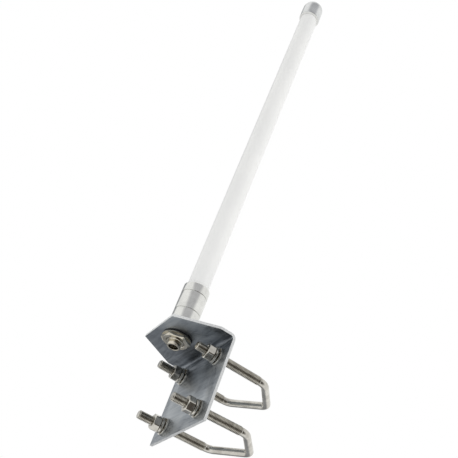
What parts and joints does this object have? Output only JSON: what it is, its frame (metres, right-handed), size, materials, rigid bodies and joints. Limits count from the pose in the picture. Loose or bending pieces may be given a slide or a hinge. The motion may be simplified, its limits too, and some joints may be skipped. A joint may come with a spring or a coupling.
{
  "type": "omnidirectional antenna",
  "caption": "White tubular omnidirectional antenna with metal cap and ferrule on a bent-sheet bracket clamped to a mast by two V-bolts.",
  "frame": {"origin": "middle of the bracket plate's mast face, half way between the two V-bolts", "axes": "+Z along the antenna towards its cap, +Y out of the mast face towards the mast, +X across the plate"},
  "size_m": [0.102, 0.1233, 0.5642],
  "materials": {
    "fibreglass": "white painted fibreglass tube, satin",
    "cap_metal": "polished",
    "sealant": "white sealant bead",
    "ferrule_metal": "turned and polished, fine rings",
    "black_rubber": "matte black",
    "jack_nickel": "nickel plated, satin",
    "black_insulator": "black insulating plastic",
    "contact_brass": "gold-coloured plating",
    "galvanised_sheet": "bright galvanised sheet, brushed",
    "stainless": "bright stainless",
    "copper": "bare copper",
    "sleeve_brass": "drawn brass",
    "foam": "closed-cell foam"
  },
  "bodies": {
    "bracket": {"bracket": "galvanised_sheet", "jack_seal_washer": "black_rubber", "flat_washer_upper_left": "stainless", "spring_washer_upper_left": "stainless", "flat_washer_upper_right": "stainless", "spring_washer_upper_right": "stainless", "flat_washer_lower_left": "stainless", "spring_washer_lower_left": "stainless", "flat_washer_lower_right": "stainless", "spring_washer_lower_right": "stainless"},
    "antenna": {"radome_tube": "fibreglass", "top_cap": "cap_metal", "cap_sealant": "sealant", "base_ferrule": "ferrule_metal", "ferrule_o_ring": "black_rubber", "jack_body": "jack_nickel", "jack_insulator": "black_insulator", "jack_contact": "contact_brass", "feed_coax": "copper", "choke_sleeve": "sleeve_brass", "feed_insulator": "black_insulator", "lower_radiator": "sleeve_brass", "phasing_coil": "copper", "upper_radiator": "sleeve_brass", "foam_spacer_sleeve": "foam", "foam_spacer_lower": "foam", "foam_spacer_upper": "foam", "foam_spacer_tip": "foam"},
    "jack_nut": {"jack_nut": "jack_nickel"},
    "v_bolt_upper": {"v_bolt_upper": "stainless"},
    "v_bolt_lower": {"v_bolt_lower": "stainless"},
    "hex_nut_upper_left": {"hex_nut_upper_left": "stainless"},
    "hex_nut_upper_right": {"hex_nut_upper_right": "stainless"},
    "hex_nut_lower_left": {"hex_nut_lower_left": "stainless"},
    "hex_nut_lower_right": {"hex_nut_lower_right": "stainless"}
  },
  "joints": [
    {"name": "antenna_turn", "type": "hinge", "parent": "bracket", "child": "antenna", "pos_m": [0, -0.0324, 0.0415], "axis": [0, 0, 1], "continuous": true},
    {"name": "jack_nut_turn", "type": "hinge", "parent": "antenna", "child": "jack_nut", "pos_m": [0, -0.0324, 0.0358], "axis": [0, 0, 1], "continuous": true},
    {"name": "v_bolt_upper_draw", "type": "slide", "parent": "bracket", "child": "v_bolt_upper", "axis": [0, -1, 0], "range_m": [-0.0075, 0.0375]},
    {"name": "hex_nut_upper_left_turn", "type": "hinge", "parent": "bracket", "child": "hex_nut_upper_left", "pos_m": [-0.0325, -0.01145, 0.025], "axis": [0, 1, 0], "range_deg": [-2160, 10800]},
    {"name": "hex_nut_upper_right_turn", "type": "hinge", "parent": "bracket", "child": "hex_nut_upper_right", "pos_m": [0.0325, -0.01145, 0.025], "axis": [0, 1, 0], "range_deg": [-2160, 10800]},
    {"name": "v_bolt_lower_draw", "type": "slide", "parent": "bracket", "child": "v_bolt_lower", "axis": [0, -0.9992, -0.0401], "range_m": [-0.0075, 0.0375]},
    {"name": "hex_nut_lower_left_turn", "type": "hinge", "parent": "bracket", "child": "hex_nut_lower_left", "pos_m": [-0.0325, -0.01145, -0.02526], "axis": [0, 0.9992, 0.0401], "range_deg": [-2160, 10800]},
    {"name": "hex_nut_lower_right_turn", "type": "hinge", "parent": "bracket", "child": "hex_nut_lower_right", "pos_m": [0.0325, -0.01145, -0.02526], "axis": [0, 0.9992, 0.0401], "range_deg": [-2160, 10800]}
  ],
  "couplings": [
    {"joint": "hex_nut_upper_left_turn", "follows": "v_bolt_upper_draw", "rad_per_m": 5026.5},
    {"joint": "hex_nut_upper_right_turn", "follows": "v_bolt_upper_draw", "rad_per_m": 5026.5},
    {"joint": "hex_nut_lower_left_turn", "follows": "v_bolt_lower_draw", "rad_per_m": 5026.5},
    {"joint": "hex_nut_lower_right_turn", "follows": "v_bolt_lower_draw", "rad_per_m": 5026.5}
  ]
}
